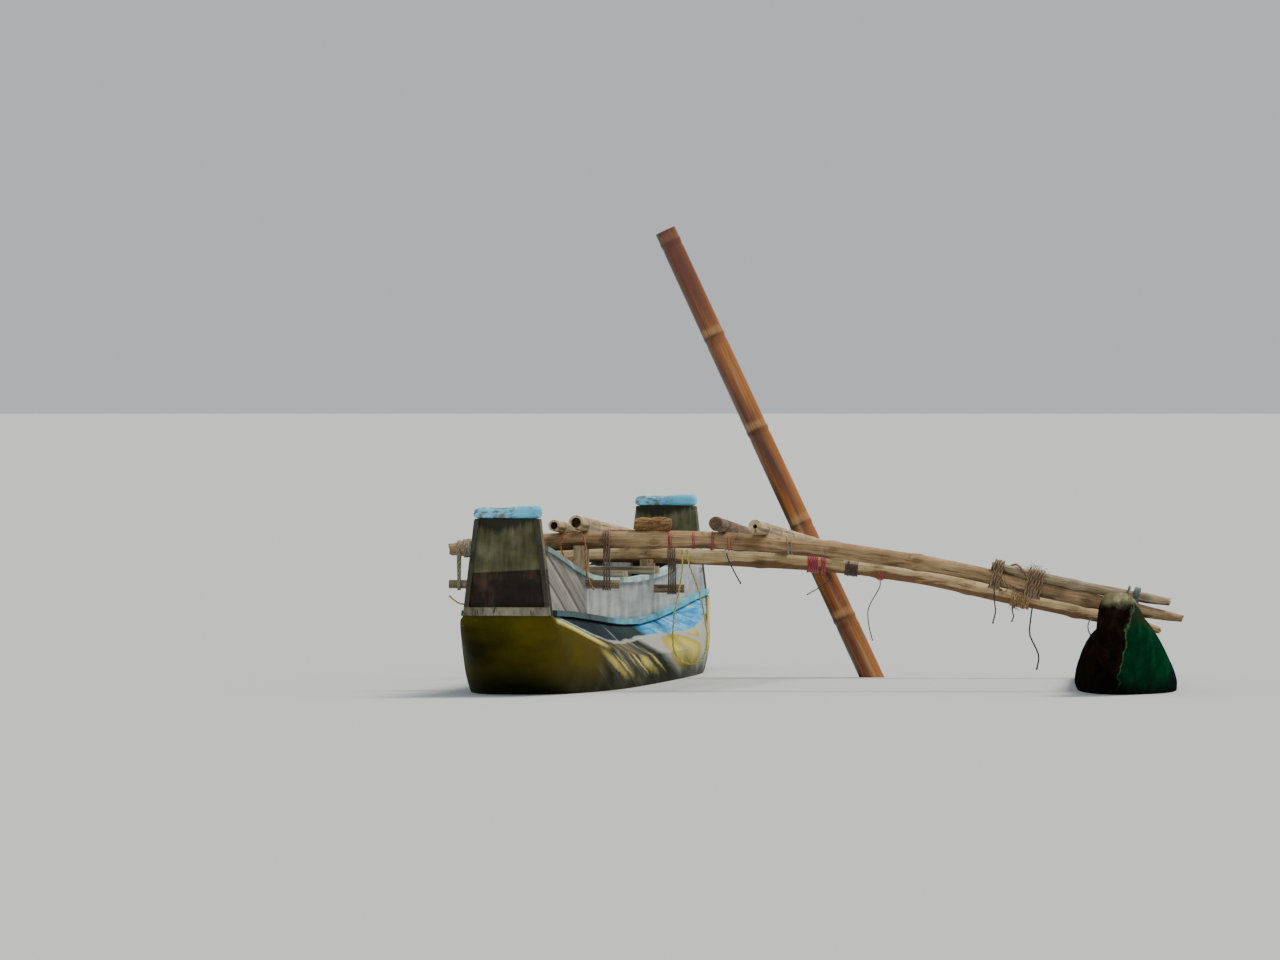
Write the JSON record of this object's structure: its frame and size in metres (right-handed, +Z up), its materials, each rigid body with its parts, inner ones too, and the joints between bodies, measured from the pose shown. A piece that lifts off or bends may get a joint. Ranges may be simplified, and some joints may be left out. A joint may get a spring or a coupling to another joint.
{
  "type": "outrigger canoe",
  "caption": "Narrow double-ended canoe with side planks, two lashed booms, a log float, a pole platform and a bamboo steering pole, afloat.",
  "frame": {"origin": "on the hull's centreline, midway along its length, at the waterline", "axes": "+Z up, the bow points along -Y, the float lies on the +X side"},
  "size_m": [2.3567, 4.8228, 1.8659],
  "materials": {
    "hull_paint": "weathered yellow paint on a glass-fibre log hull, dirty near the water",
    "side_paint": "weathered pale grey paint",
    "teal_paint": "chipped pale teal paint",
    "rail_paint": "turquoise paint",
    "board_wood": "dark stained wood with worn paint",
    "cap_paint": "chipped light blue paint",
    "frame_paint": "dirty pale paint",
    "plank_wood": "worn boards",
    "pole_wood": "weathered pole wood with knots",
    "bamboo": "dry bamboo",
    "bark": "rough bark",
    "steering_bamboo": "glossy golden brown bamboo",
    "float_paint": "worn olive, brown and green paint on a log",
    "coir": "brown coir rope turns",
    "red_rope": "red rope turns",
    "pale_rope": "pale cord turns",
    "grey_rope": "grey-blue rope turns",
    "yellow_rope": "yellow twisted rope",
    "orange_rope": "orange twisted rope",
    "black_rope": "black rope end",
    "dark_red_rope": "dark red rope end",
    "purple_rope": "purple rope end"
  },
  "bodies": {
    "canoe": {"bow_stem": "hull_paint", "stern_stem": "hull_paint", "bottom_fore": "hull_paint", "bottom_middle": "hull_paint", "bottom_aft": "hull_paint", "bilge_port": "hull_paint", "bilge_starboard": "hull_paint", "shoulder_port": "hull_paint", "shoulder_starboard": "hull_paint", "side_plank_port": "side_paint", "side_plank_starboard": "side_paint", "gunwale_port": "teal_paint", "gunwale_starboard": "teal_paint", "joint_rail_port": "rail_paint", "joint_rail_starboard": "rail_paint", "bow_board": "board_wood", "bow_cap": "cap_paint", "bow_frame": "frame_paint", "stern_board": "board_wood", "stern_cap": "cap_paint", "stern_frame": "frame_paint", "fore_thwart": "plank_wood", "aft_thwart": "teal_paint", "seat_plank": "plank_wood", "front_boom": "pole_wood", "front_boom_extension": "pole_wood", "rear_boom": "pole_wood", "front_chock_port": "plank_wood", "front_chock_starboard": "plank_wood", "rear_chock_port": "plank_wood", "rear_chock_starboard": "plank_wood", "front_tie_bar": "pole_wood", "rear_tie_bar": "pole_wood", "front_lashing_port": "pale_rope", "front_lashing_starboard": "red_rope", "rear_lashing_port": "red_rope", "rear_lashing_starboard": "red_rope", "front_splice_wrap": "coir", "front_boom_end_wrap": "pale_rope", "rear_boom_wrap": "coir", "boom_grommet": "red_rope", "platform_pole_1": "bamboo", "platform_pole_2": "bamboo", "platform_pole_3": "pole_wood", "platform_pole_4": "bamboo", "cross_log": "bark", "float": "float_paint", "float_lashing_front": "grey_rope", "float_lashing_rear": "grey_rope", "yellow_loop": "yellow_rope", "orange_loop": "orange_rope", "black_tail": "black_rope", "dark_red_tail": "dark_red_rope", "purple_tail": "purple_rope", "yellow_tail": "yellow_rope", "grommet_tail": "dark_red_rope", "short_tail_1": "black_rope", "short_tail_2": "black_rope"},
    "pole": {"steering_pole": "steering_bamboo", "pole_grommet": "red_rope"}
  },
  "joints": [
    {"name": "pole_pivot", "type": "hinge", "parent": "canoe", "child": "pole", "pos_m": [0.69, 0.679, 0.379], "axis": [0, 1, 0], "range_deg": [-20, 30]}
  ]
}
